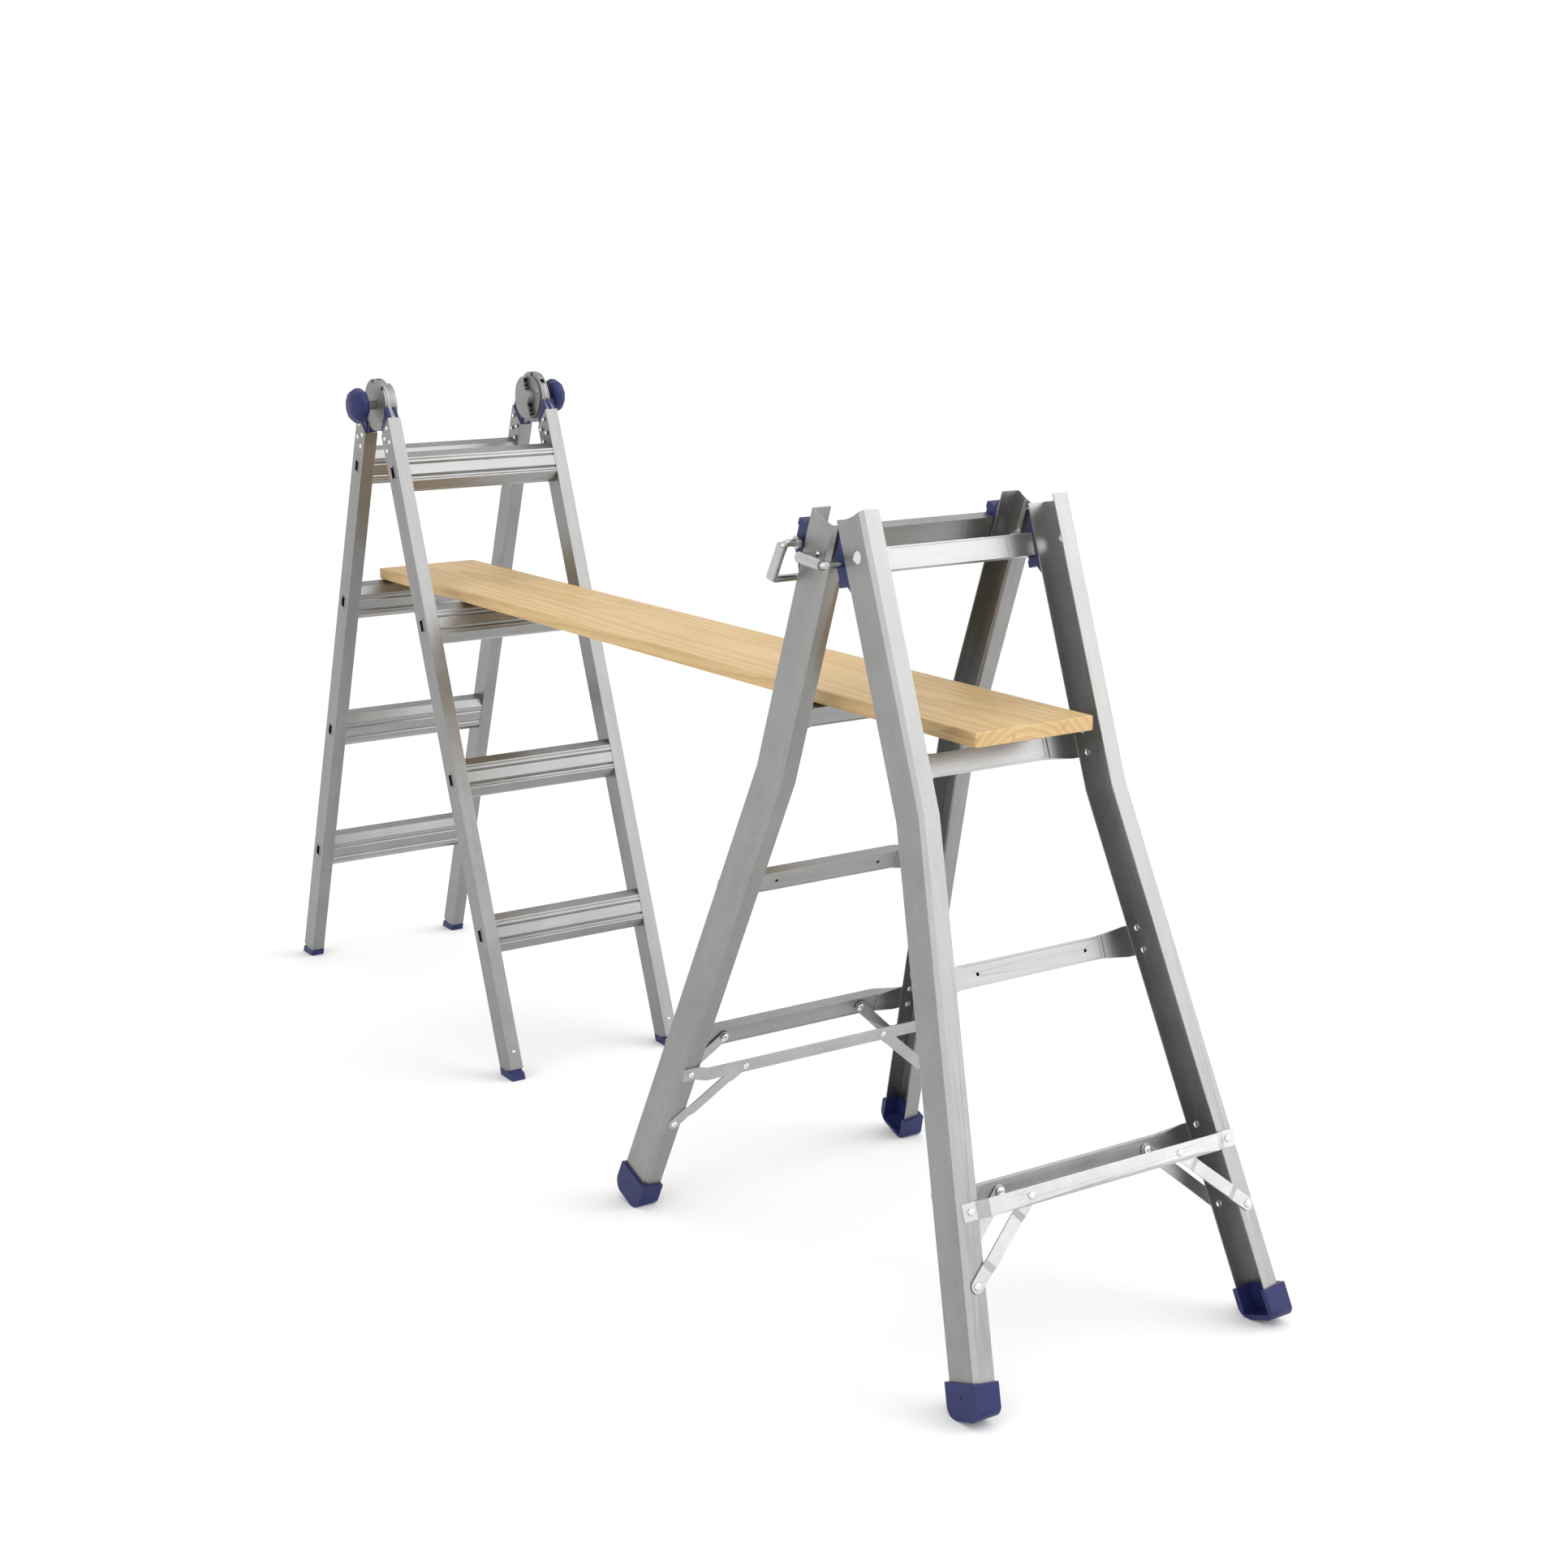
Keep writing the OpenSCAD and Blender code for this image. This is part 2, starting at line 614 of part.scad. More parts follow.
module straight_rung(back, half_h) {
    half = outer_web - 8;
    difference() {
        translate([back, -half, -half_h]) cube([outer_rung_d, 2 * half, outer_rung_h]);
        rung_hollow(back, half + 1, half_h);
        rung_faces(back, half - outer_flange - 44, half_h);
    }
}

module flattened_rung(k, level, v, back, half_h) {
    taper = 42;
    tab_h = 23;
    hw = half_width(level) - 3;
    body = hw - outer_flange - 8;
    middle = body - taper;
    difference() {
        intersection() {
            // plan: full depth in the middle, a flat tab at each end
            translate([-v, 0, -60]) linear_extrude(120) polygon([
                [0, -hw], [0, hw], [-tab_t, hw], [-tab_t, body], [-wall - outer_rung_d, middle],
                [-wall - outer_rung_d, -middle], [-tab_t, -body], [-tab_t, -hw]]);
            // front view: the ends are taller than the middle
            translate([-v - 60, 0, 0]) rotate([90, 0, 90]) linear_extrude(120) polygon([
                [-hw, -tab_h], [-body, -tab_h], [-middle, -half_h], [middle, -half_h], [body, -tab_h],
                [hw, -tab_h], [hw, tab_h], [body, tab_h], [middle, half_h], [-middle, half_h],
                [-body, tab_h], [-hw, tab_h]]);
        }
        // gap between the rung's middle and the flanges' plane
        translate([-v - wall, -middle, -50]) cube([wall + 1, 2 * middle, 100]);
        rung_hollow(back, middle - 4, half_h);
        rung_faces(back, middle - 6, half_h);
        if (k == 3) for (y = [-100, 100]) translate([-v - wall - 6, y, 0]) rotate([0, 90, 0])
            cylinder(d = 5, h = 10, $fn = 32);
        for (side = [-1, 1], dz = [-rung_rivet_dz, rung_rivet_dz]) mirror_side(side)
            translate([-v - tab_t - 1, rivet_inset - half_width(level + dz), -dz]) rotate([0, 90, 0])
                cylinder(d = rivet_hole_d, h = tab_t + 2, $fn = 32);
    }
}

module rung_hollow(back, half, half_h) {
    translate([back + wall, -half, -half_h + wall])
        cube([outer_rung_d - 2 * wall, 2 * half, outer_rung_h - 2 * wall]);
}

// Sunk faces leave a lip along each edge
module rung_faces(back, half, half_h) {
    sunk = 0.8;
    lip = 2.6;
    for (x = [back - 1, back + outer_rung_d - sunk]) translate([x, -half, -half_h + lip])
        cube([1 + sunk, 2 * half, outer_rung_h - 2 * lip]);
}

// Plastic blocks behind the flanges that carry the first rung's ends and guide the lock levers
module lock_guides(s) {
    v = outer_rail_d / 2;
    up = is_front(s) ? -1 : 1;    // which way the ear points
    color(blue) outer_place(s) for (side = [-1, 1]) mirror_side(side) difference() {
        prism_along_y(-outer_web + 1, -outer_web + outer_flange, [
            [-v - eps, -47 * up], [-v - eps, 47 * up], [-v - 9, 32 * up], [-v - 27, 32 * up],
            [-v - 27, 22 * up], [-v - 24, 20 * up], [-v - 24, -14 * up], [-v - 9, -28 * up]]);
        translate([-v - wall - outer_rung_d - 0.1, -outer_web + 7.9, -outer_rung_h / 2 - 0.1])
            cube([outer_rung_d + 0.2, 100, outer_rung_h + 0.2]);
        translate([outer_rung_v, -outer_web - 1, 0]) rotate([-90, 0, 0])
            cylinder(d = lever_rod_d + 2 * run, h = 60, $fn = 48);
    }
}

module linear_extrude_centre(h) {
    translate([0, 0, -h / 2]) linear_extrude(h) children();
}

// A flat bar across the front flanges, joggled away from them in the middle
module brace_bar(s) {
    v = outer_rail_d / 2;
    end = brace_y + 14;
    low = end - 22;           // where a joggle starts
    high = end - 40;          // where it ends
    color(alu) outer_place(s) translate([v, 0, -brace_s]) difference() {
        linear_extrude_centre(brace_h) polygon([
            [0, -end], [0, -low], [brace_lift, -high], [brace_lift, high], [0, low], [0, end],
            [brace_t, end], [brace_t, low - 1], [brace_lift + brace_t, high - 1],
            [brace_lift + brace_t, 1 - high], [brace_t, 1 - low], [brace_t, -end]]);
        for (y = [-brace_y, -brace_inner_y, brace_inner_y, brace_y]) translate([-1, y, 0]) rotate([0, 90, 0])
            cylinder(d = rivet_hole_d, h = brace_lift + brace_t + 2, $fn = 32);
    }
}

// Four diagonal straps: two from the brace bar, two from the fourth rung
module struts(s) {
    v = outer_rail_d / 2;
    low_end = [-strut_low_y, -strut_low_s];
    color(alu) outer_place(s) for (side = [-1, 1]) mirror_side(side) {
        slanted_strap([-brace_inner_y, -brace_s], low_end, v + brace_lift - strut_t, v);
        slanted_strap([-brace_inner_y, -3 * rung_pitch], low_end, -v - wall, -v - strut_t);
    }
}

// A strap with a hole at each end, whose face starts at x = xa by point a and ends at x = xb by point b
module slanted_strap(a, b, xa, xb) {
    length = norm(b - a);
    w = strut_w;
    flat = 28;
    slope = 10;
    xm = (xa + xb) / 2;
    translate([0, a[0], a[1]]) rotate([atan2(b[1] - a[1], b[0] - a[0]), 0, 0]) difference() {
        intersection() {
            linear_extrude_centre(w) polygon([
                [xa, -w / 2], [xa, flat], [xm, flat + slope], [xm, length - flat - slope],
                [xb, length - flat], [xb, length + w / 2], [xb + strut_t, length + w / 2],
                [xb + strut_t, length - flat], [xm + strut_t, length - flat - slope],
                [xm + strut_t, flat + slope], [xa + strut_t, flat], [xa + strut_t, -w / 2]]);
            union() {
                translate([-200, 0, -w / 2]) cube([400, length, w]);
                for (y = [0, length]) translate([-200, y, 0]) rotate([0, 90, 0]) cylinder(d = w, h = 400);
            }
        }
        for (y = [0, length]) translate([-200, y, 0]) rotate([0, 90, 0])
            cylinder(d = rivet_hole_d, h = 400, $fn = 32);
    }
}

module outer_rivets(s) {
    v = outer_rail_d / 2;
    head_d = 11;
    head_h = 3.6;
    low_h = 2.4;              // flatter heads on the rung side
    color(steel) outer_place(s) for (side = [-1, 1]) mirror_side(side) {
        rivet_positions_on_rungs() rivet_along_x(-v - tab_t, -v + wall, head_d, low_h);
        translate([0, -brace_y, -brace_s]) rivet_along_x(v - wall, v + brace_t, head_d, head_h);
        translate([0, -brace_inner_y, -brace_s])
            rivet_along_x(v + brace_lift - strut_t, v + brace_lift + brace_t, head_d, head_h);
        translate([0, -strut_low_y, -strut_low_s]) {
            rivet_along_x(v - wall, v + strut_t, head_d, head_h);
            rivet_along_x(-v - strut_t, -v + wall, head_d, low_h);
        }
        // larger heads hold the straps to the fourth rung
        translate([-v - wall + strut_t, -brace_inner_y, -3 * rung_pitch]) rotate([0, 90, 0])
            rivet_head(head_d + 3, 5);
    }
}

// A rivet whose shank runs from x0 to x1, with a domed head at each end
module rivet_along_x(x0, x1, d, h) {
    translate([x0, 0, 0]) rotate([0, 90, 0]) cylinder(d = rivet_hole_d - 0.1, h = x1 - x0, $fn = 32);
    translate([x1, 0, 0]) rotate([0, 90, 0]) rivet_head(d, h);
    translate([x0, 0, 0]) rotate([0, -90, 0]) rivet_head(d - 2, h);
}

// ---------- lock levers ----------

// A bent rod: the first leg lies on the guide's axis, the second leg is lever_span away along +X
module lever() {
    grip_y = outer_web + lever_reach;
    leg_in = 46;              // second leg, far enough to pass the web
    first_leg = leg_in + 32;  // through the guide into the hollow first rung
    r = lever_rod_d / 2;
    turn = 9;                 // radius of the bends
    color(steel) {
        translate([0, -grip_y + turn, 0]) rotate([-90, 0, 0]) cylinder(d = lever_rod_d, h = first_leg - turn);
        translate([lever_span, -grip_y + turn, 0]) rotate([-90, 0, 0])
            cylinder(d = lever_rod_d, h = leg_in - turn);
        translate([turn, -grip_y, 0]) rotate([0, 90, 0]) cylinder(d = lever_rod_d, h = lever_span - 2 * turn);
        // the two quarter bends
        translate([turn, -grip_y + turn, 0]) rotate(180) rotate_extrude(angle = 90)
            translate([turn, 0]) circle(r = r);
        translate([lever_span - turn, -grip_y + turn, 0]) rotate(270) rotate_extrude(angle = 90)
            translate([turn, 0]) circle(r = r);
        // grip sleeve
        translate([3, -grip_y, 0]) rotate([0, 90, 0]) cylinder(d = lever_grip_d, h = lever_span - 6);
    }
}

module lever_place(s, angle) {
    outer_place(s) translate([outer_rung_v, 0, 0]) rotate([0, -angle, 0]) children();
}

module front_lever(side) {
    lever_place("outer_front", lever_front_angle) mirror_side(side) lever();
}

module back_lever(side) {
    lever_place("outer_back", lever_back_angle) mirror_side(side) lever();
}

module back_collar(side) {
    color(steel) lever_place("outer_back", 0) mirror_side(side)
        translate([0, -outer_web - 3, 0]) rotate([90, 0, 0]) difference() {
            cylinder(d = 20, h = 5);
            translate([0, 0, -1]) cylinder(d = lever_rod_d + 2 * run, h = 8);
        }
}

// ---------- plank ----------

module plank() {
    c = 1.5;                  // eased edges
    w = plank_w / 2;
    color(pine) translate([inner_x - plank_back, plank_shift, plank_z])
        rotate([90, 0, 90]) linear_extrude(plank_len) polygon([[-w + c, 0], [w - c, 0], [w, c], [w, plank_t - c], [w - c, plank_t], [c - w, plank_t],
                 [-w, plank_t - c], [-w, c]]);
}

// ---------- nodes ----------

for (s = INNER) {
    inner_rail(s, -1);
    inner_rail(s, 1);
    for (k = [1 : 4]) inner_rung(s, k);
    inner_feet(s);
    inner_rivets(s);
    spacers(s);
    single_plate(s);
    fork_plates(s);
}
for (s = OUTER) {
    outer_rail(s, -1);
    outer_rail(s, 1);
    for (k = [1 : 4]) outer_rung(s, k);
    outer_feet(s);
    outer_rivets(s);
    lock_guides(s);
    brace_bar(s);
    struts(s);
}
hinge_hub(-1);  // hinge_hub_left
hinge_hub(1);  // hinge_hub_right
lock_knob(-1);  // lock_knob_left
lock_knob(1);  // lock_knob_right
lock_plunger(-1);  // lock_plunger_left
lock_plunger(1);  // lock_plunger_right
lock_spring(-1);  // lock_spring_left
lock_spring(1);  // lock_spring_right
front_lever(-1);  // front_lever_left
front_lever(1);  // front_lever_right
back_lever(-1);  // back_lever_left
back_lever(1);  // back_lever_right
back_collar(-1);  // back_collar_left
back_collar(1);  // back_collar_right
plank();
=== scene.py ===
import json
import math

import bmesh
import bpy
from mathutils import Matrix, Vector


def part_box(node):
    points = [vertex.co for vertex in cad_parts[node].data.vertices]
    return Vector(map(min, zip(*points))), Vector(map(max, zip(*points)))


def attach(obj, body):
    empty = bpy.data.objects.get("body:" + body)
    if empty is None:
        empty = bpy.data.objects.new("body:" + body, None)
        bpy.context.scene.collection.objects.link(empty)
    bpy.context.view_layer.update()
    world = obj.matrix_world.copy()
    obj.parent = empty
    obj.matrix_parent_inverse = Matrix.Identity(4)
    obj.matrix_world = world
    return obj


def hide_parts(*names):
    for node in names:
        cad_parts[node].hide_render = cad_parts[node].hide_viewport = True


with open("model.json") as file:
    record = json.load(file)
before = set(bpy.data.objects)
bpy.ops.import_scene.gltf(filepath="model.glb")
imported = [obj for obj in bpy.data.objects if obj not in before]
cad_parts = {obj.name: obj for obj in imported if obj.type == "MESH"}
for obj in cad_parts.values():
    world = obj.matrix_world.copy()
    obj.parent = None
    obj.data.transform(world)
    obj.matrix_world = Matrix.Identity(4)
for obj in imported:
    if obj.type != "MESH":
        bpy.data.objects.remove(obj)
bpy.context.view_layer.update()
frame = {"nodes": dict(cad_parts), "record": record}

# Looks for an aluminium multi-position ladder: metals, plastic, pine, rounded edges and small parts.
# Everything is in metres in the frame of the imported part. +X is the front, -Y the left, +Z is up.

NODES = frame["nodes"]
SLOTS = {s["node"]: s["material_slot"] for s in frame["record"]["subparts"]}

INNER_LEAN = math.radians(19.7)
FRONT_LEAN = math.radians(19.52)
BACK_LEAN = math.radians(20.63)
# Turn about Y that brings each section's rails upright
UPRIGHT = {
    "inner_back": -INNER_LEAN,
    "inner_front": INNER_LEAN,
    "outer_back": -BACK_LEAN,
    "outer_front": FRONT_LEAN,
}
SIDES = {"left": -1, "right": 1}

MM = 0.001


# ---------- camera, light and floor ----------

CAMERA_PLACE = Vector((3.6226, -2.1297, 1.6004))
CAMERA_TARGET = Vector((0.3719, 0.0120, 0.6810))
CAMERA_ROLL = math.radians(-0.41)
CAMERA_LENS = 55.16


def make_camera():
    camera = bpy.data.objects.new("camera", bpy.data.cameras.new("camera"))
    bpy.context.scene.collection.objects.link(camera)
    aim = (CAMERA_TARGET - CAMERA_PLACE).to_track_quat("-Z", "Y").to_matrix().to_4x4()
    camera.matrix_world = Matrix.Translation(CAMERA_PLACE) @ aim @ Matrix.Rotation(CAMERA_ROLL, 4, "Z")
    camera.data.lens = CAMERA_LENS
    camera.data.clip_end = 100
    bpy.context.scene.camera = camera


def make_softbox(name, place, target, size, power):
    lamp = bpy.data.lights.new(name, "AREA")
    lamp.shape = "RECTANGLE"
    lamp.size, lamp.size_y = size
    lamp.energy = power
    box = bpy.data.objects.new(name, lamp)
    bpy.context.scene.collection.objects.link(box)
    aim = (Vector(target) - Vector(place)).to_track_quat("-Z", "Y").to_matrix().to_4x4()
    box.matrix_world = Matrix.Translation(place) @ aim
    box.visible_camera = False


# The studio all round is white. Each glow is a large soft source:
# direction, cosines of the angles to its rim and its core, gain.
STUDIO_LEVEL = 1.06
GLOWS = (
    (Vector((0.453, 0.785, 0.423)), 0.80, 0.97, 2.4),
    (Vector((0.46, -0.84, 0.28)), 0.80, 0.98, 1.2),
)


def make_light():
    make_softbox("key_light", (3.4, 1.2, 4.0), (0.6, 0.0, 0.6), (2.4, 2.4), 22)
    make_softbox("top_light", (0.0, 0.0, 4.6), (0.0, 0.0, 0.0), (5.0, 3.0), 18)
    world = bpy.data.worlds.new("studio")
    bpy.context.scene.world = world
    world.use_nodes = True
    tree = world.node_tree
    tree.nodes.clear()
    out = tree.nodes.new("ShaderNodeOutputWorld")
    sky = tree.nodes.new("ShaderNodeBackground")
    place = tree.nodes.new("ShaderNodeTexCoord")
    level = None
    for direction, rim, core, gain in GLOWS:
        toward = tree.nodes.new("ShaderNodeVectorMath")
        toward.operation = "DOT_PRODUCT"
        toward.inputs[1].default_value = direction.normalized()
        tree.links.new(place.outputs["Generated"], toward.inputs[0])
        spread = tree.nodes.new("ShaderNodeMapRange")
        spread.interpolation_type = "SMOOTHSTEP"
        spread.inputs["From Min"].default_value = rim
        spread.inputs["From Max"].default_value = core
        spread.inputs["To Max"].default_value = gain
        tree.links.new(toward.outputs["Value"], spread.inputs["Value"])
        total = tree.nodes.new("ShaderNodeMath")
        total.inputs[0].default_value = STUDIO_LEVEL
        if level is not None:
            tree.links.new(level, total.inputs[0])
        tree.links.new(spread.outputs["Result"], total.inputs[1])
        level = total.outputs[0]
    tree.links.new(level, sky.inputs["Strength"])
    tree.links.new(sky.outputs[0], out.inputs["Surface"])
    sky.inputs["Color"].default_value = (1.0, 1.0, 1.0, 1)
    bpy.context.scene.view_settings.view_transform = "Standard"


# ---------- shader helper ----------


class Shader:
    """A material around one Principled shader, built with short calls."""

    def __init__(self, name):
        self.material = bpy.data.materials.new(name)
        self.material.use_nodes = True
        self.tree = self.material.node_tree
        self.tree.nodes.clear()
        self.bsdf = self.add("ShaderNodeBsdfPrincipled")
        out = self.add("ShaderNodeOutputMaterial")
        self.join(self.bsdf.outputs[0], out.inputs["Surface"])

    def add(self, kind, **settings):
        node = self.tree.nodes.new(kind)
        for key, value in settings.items():
            setattr(node, key, value)
        return node

    def join(self, source, target):
        if isinstance(source, (int, float)):
            target.default_value = source
        elif isinstance(source, (tuple, list)):
            target.default_value = (*source, 1) if len(source) == 3 and target.type == "RGBA" else source
        else:
            self.tree.links.new(source, target)

    def set(self, **values):
        for key, value in values.items():
            self.join(value, self.bsdf.inputs[key.replace("_", " ").title().replace("Ior", "IOR")])

    def space(self, turn=0.0, stretch=(1, 1, 1)):
        """Object space turned about Y so that a leaning section stands upright, then stretched."""
        place = self.add("ShaderNodeTexCoord").outputs["Object"]
        if turn:
            rotate = self.add("ShaderNodeVectorRotate", rotation_type="Y_AXIS")
            self.join(place, rotate.inputs["Vector"])
            rotate.inputs["Angle"].default_value = turn
            place = rotate.outputs[0]
        scale = self.add("ShaderNodeVectorMath", operation="MULTIPLY")
        self.join(place, scale.inputs[0])
        scale.inputs[1].default_value = stretch
        return scale.outputs[0]

    def noise(self, space, scale, detail=3.0, roughness=0.5, distortion=0.0):
        node = self.add("ShaderNodeTexNoise")
        self.join(space, node.inputs["Vector"])
        node.inputs["Scale"].default_value = scale
        node.inputs["Detail"].default_value = detail
        node.inputs["Roughness"].default_value = roughness
        node.inputs["Distortion"].default_value = distortion
        return node.outputs["Fac"]

    def math(self, operation, a, b):
        node = self.add("ShaderNodeMath", operation=operation)
        self.join(a, node.inputs[0])
        self.join(b, node.inputs[1])
        return node.outputs[0]

    def band(self, value, low, high, to_low=0.0, to_high=1.0):
        node = self.add("ShaderNodeMapRange")
        self.join(value, node.inputs["Value"])
        for key, number in (("From Min", low), ("From Max", high), ("To Min", to_low), ("To Max", to_high)):
            node.inputs[key].default_value = number
        return node.outputs["Result"]

    def mix(self, amount, a, b, blend="MIX"):
        node = self.add("ShaderNodeMix", data_type="RGBA", blend_type=blend)
        self.join(amount, node.inputs["Factor"])
        self.join(a, node.inputs[6])
        self.join(b, node.inputs[7])
        return node.outputs[2]

    def edges(self, radius):
        """1 on sharp outer edges, 0 on flat faces."""
        round_off = self.add("ShaderNodeBevel", samples=4)
        round_off.inputs["Radius"].default_value = radius
        face = self.add("ShaderNodeNewGeometry")
        dot = self.add("ShaderNodeVectorMath", operation="DOT_PRODUCT")
        self.join(round_off.outputs[0], dot.inputs[0])
        self.join(face.outputs["Normal"], dot.inputs[1])
        return self.band(dot.outputs["Value"], 0.995, 0.86)

    def bump(self, height, strength, distance):
        node = self.add("ShaderNodeBump")
        self.join(height, node.inputs["Height"])
        node.inputs["Strength"].default_value = strength
        node.inputs["Distance"].default_value = distance
        self.join(node.outputs[0], self.bsdf.inputs["Normal"])


# ---------- materials ----------


RIBS = (9 * MM, -3 * MM)  # across the depth of an outer rail, from its middle
RIB_HALF = 1.7 * MM
STRIP_PAINTED_HIGHLIGHT = 0.30        # painted highlight of the strip between them, beside 1 on the ribs


def rib_middle(section):
    """The upright X of the middle of an outer section's rails, or None for an inner section."""
    if section.startswith("inner"):
        return None
    upright = Matrix.Rotation(UPRIGHT[section], 3, "Y")
    depth = [(upright @ v.co).x for v in NODES[f"{section}_rail_left"].data.vertices]
    return (min(depth) + max(depth)) / 2


def rib_painted_highlight(m, turn, middle, front):
    """A painted highlight: 1 on the two ribs inside a channel, less on the strip between."""
    place = m.add("ShaderNodeSeparateXYZ")
    m.join(m.space(turn), place.inputs[0])
    facing = m.add("ShaderNodeSeparateXYZ")
    m.join(m.add("ShaderNodeNewGeometry").outputs["Normal"], facing.inputs[0])
    inward = m.math("LESS_THAN", m.math("MULTIPLY", place.outputs["Y"], facing.outputs["Y"]), 0.0)
    depth = m.math("MULTIPLY", m.math("SUBTRACT", place.outputs["X"], middle), front)
    rib_highlight = 0.0
    for rib in RIBS:
        off = m.math("ABSOLUTE", m.math("SUBTRACT", depth, rib), 0.0)
        rib_highlight = m.math("MAXIMUM", rib_highlight, m.band(off, RIB_HALF, 0.4 * RIB_HALF))
    between = m.math("ABSOLUTE", m.math("SUBTRACT", depth, sum(RIBS) / len(RIBS)), 0.0)
    strip = m.math("LESS_THAN", between, (RIBS[0] - RIBS[1]) / 2)
    return m.math("MULTIPLY", inward, m.math("MAXIMUM", rib_highlight, m.math("MULTIPLY", strip, STRIP_PAINTED_HIGHLIGHT)))


def metal(name, colour, rough, turn=0.0, along=(1, 1, 0.02), mottle=0.10, streak=0.05, edge_wear_and_highlight=0.5, ribs=None):
    """Rolled or extruded metal: a cloudy tone, fine draw lines, brighter edges that are partly rubbed wear
    and partly a painted highlight, and on outer rails a painted highlight on the channel ribs.
    """
    m = Shader(name)
    plain = m.space(turn)
    drawn = m.space(turn, along)
    cloud = m.noise(plain, 9, detail=6, roughness=0.62, distortion=0.4)
    lines = m.noise(drawn, 420, detail=2, roughness=0.6)
    bands = m.noise(drawn, 60, detail=3, roughness=0.5)
    dark = tuple(c * (1 - mottle) for c in colour)
    light = tuple(min(1, c * (1 + mottle)) for c in colour)
    tone = m.mix(m.band(cloud, 0.32, 0.68), dark, light)
    grey = m.band(m.math("ADD", lines, bands), 0.7, 1.3, 1 - streak, 1 + streak)
    tone = m.mix(1.0, tone, combine_grey(m, grey), "MULTIPLY")
    # brighter edges, 1.35 times the colour: partly rubbed wear, partly a painted highlight
    rubbed_and_highlight = m.math("MULTIPLY", m.edges(0.0012), m.band(m.noise(plain, 45, detail=5), 0.35, 0.6))
    rubbed_and_highlight = m.math("MULTIPLY", rubbed_and_highlight, edge_wear_and_highlight)
    tone = m.mix(rubbed_and_highlight, tone, tuple(min(1, c * 1.35) for c in colour))
    if ribs is not None:
        front = 1 if turn > 0 else -1
        # painted highlight: the ribs inside an outer rail's channel are brightened to 2.4 times the colour
        tone = m.mix(rib_painted_highlight(m, turn, ribs, front), tone, tuple(min(1, c * 2.4) for c in colour))
    m.set(base_color=tone, metallic=1.0)
    worn = m.math("MULTIPLY", rubbed_and_highlight, 0.12)
    m.set(roughness=m.math("SUBTRACT", m.band(cloud, 0.3, 0.7, rough - 0.05, rough + 0.07), worn))
    m.bump(m.math("ADD", lines, m.math("MULTIPLY", bands, 0.6)), 0.12, 0.0004)
    return m.material


def combine_grey(m, value):
    node = m.add("ShaderNodeCombineColor")
    for channel in ("Red", "Green", "Blue"):
        m.join(value, node.inputs[channel])
    return node.outputs[0]


def plastic(name, colour, rough=0.42):
    """Moulded plastic: fine spark-eroded grain, uneven gloss, scuffed edges."""
    m = Shader(name)
    plain = m.space()
    cloud = m.noise(plain, 30, detail=5, roughness=0.6)
    grain = m.noise(plain, 1400, detail=2)
    dark = tuple(c * 0.82 for c in colour)
    light = tuple(c * 1.16 for c in colour)
    tone = m.mix(m.band(cloud, 0.3, 0.7), dark, light)
    scuff = m.math("MULTIPLY", m.edges(0.0016), m.band(m.noise(plain, 160, detail=5), 0.42, 0.62))
    scuff = m.math("MULTIPLY", scuff, 0.45)
    m.set(base_color=m.mix(scuff, tone, tuple(0.55 * c + 0.10 for c in colour)))
    m.set(roughness=m.band(cloud, 0.25, 0.75, rough - 0.06, rough + 0.1))
    m.set(specular_ior_level=0.28)
    m.bump(m.math("ADD", grain, m.math("MULTIPLY", scuff, 0.8)), 0.25, 0.0002)
    return m.material


PITH = Vector((0.0, 0.018, -0.075))  # centre line of the log that the plank was sawn from


